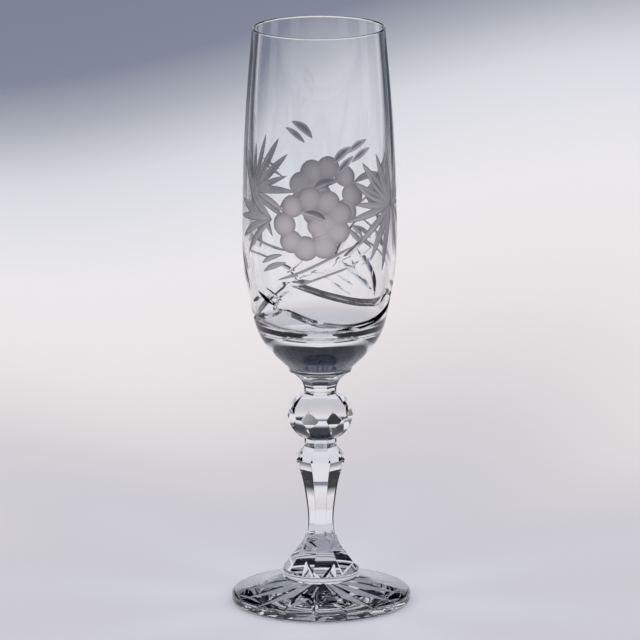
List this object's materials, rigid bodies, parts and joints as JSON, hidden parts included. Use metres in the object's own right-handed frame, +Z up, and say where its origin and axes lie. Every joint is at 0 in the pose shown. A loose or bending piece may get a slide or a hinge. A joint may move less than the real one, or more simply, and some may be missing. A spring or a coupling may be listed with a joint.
{
  "type": "champagne flute",
  "caption": "Tall cut-crystal champagne flute with an engraved bowl, a panel-cut stem with a round knop and a star-cut foot.",
  "frame": {"origin": "centre of the foot's underside, on the plane the glass stands on", "axes": "+Z up along the axis of the glass, -Y out of the side that carries the engraved flowers, +X to the right of a viewer who faces that side"},
  "size_m": [0.066, 0.066, 0.215],
  "materials": {
    "foot_crystal": "polished",
    "stem_crystal": "polished",
    "bowl_crystal": "polished, with frosted engraving"
  },
  "bodies": {
    "root": {"foot": "foot_crystal", "bell": "stem_crystal", "stem": "stem_crystal", "knop": "stem_crystal", "collar": "stem_crystal", "bowl": "bowl_crystal"}
  },
  "joints": []
}
